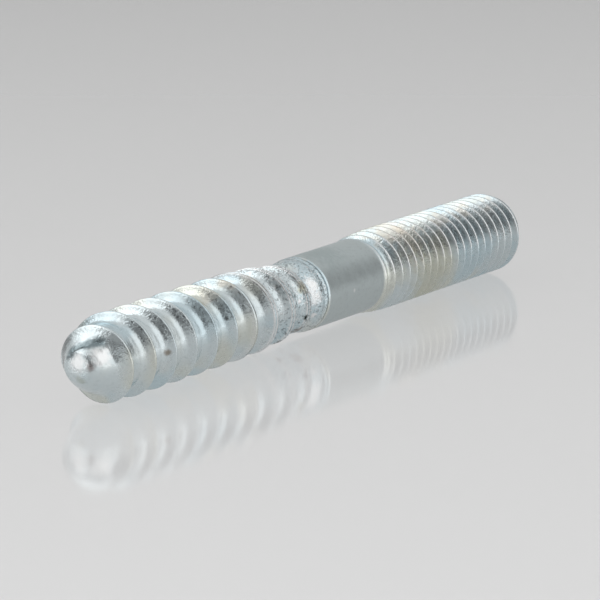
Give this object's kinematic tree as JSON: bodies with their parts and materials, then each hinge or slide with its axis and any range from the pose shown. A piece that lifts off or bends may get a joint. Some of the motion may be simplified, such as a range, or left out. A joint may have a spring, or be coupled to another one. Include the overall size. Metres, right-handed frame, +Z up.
{
  "type": "hanger bolt",
  "caption": "Straight zinc-plated steel hanger bolt: a coarse wood thread with a blunt tip, a plain rolled shank and a machine thread with a chamfered end.",
  "frame": {"origin": "on the surface that the bolt lies on, under its axis, at mid length", "axes": "+X along the bolt's axis from the wood thread's tip to the machine thread's end, +Z up from the surface that it lies on"},
  "size_m": [0.0392, 0.004, 0.0041],
  "materials": {
    "zinc_plated_steel": "bright blue-passivated zinc plating over rolled steel, with faint yellow and olive tints"
  },
  "bodies": {
    "root": {"hanger_bolt": "zinc_plated_steel"}
  },
  "joints": []
}
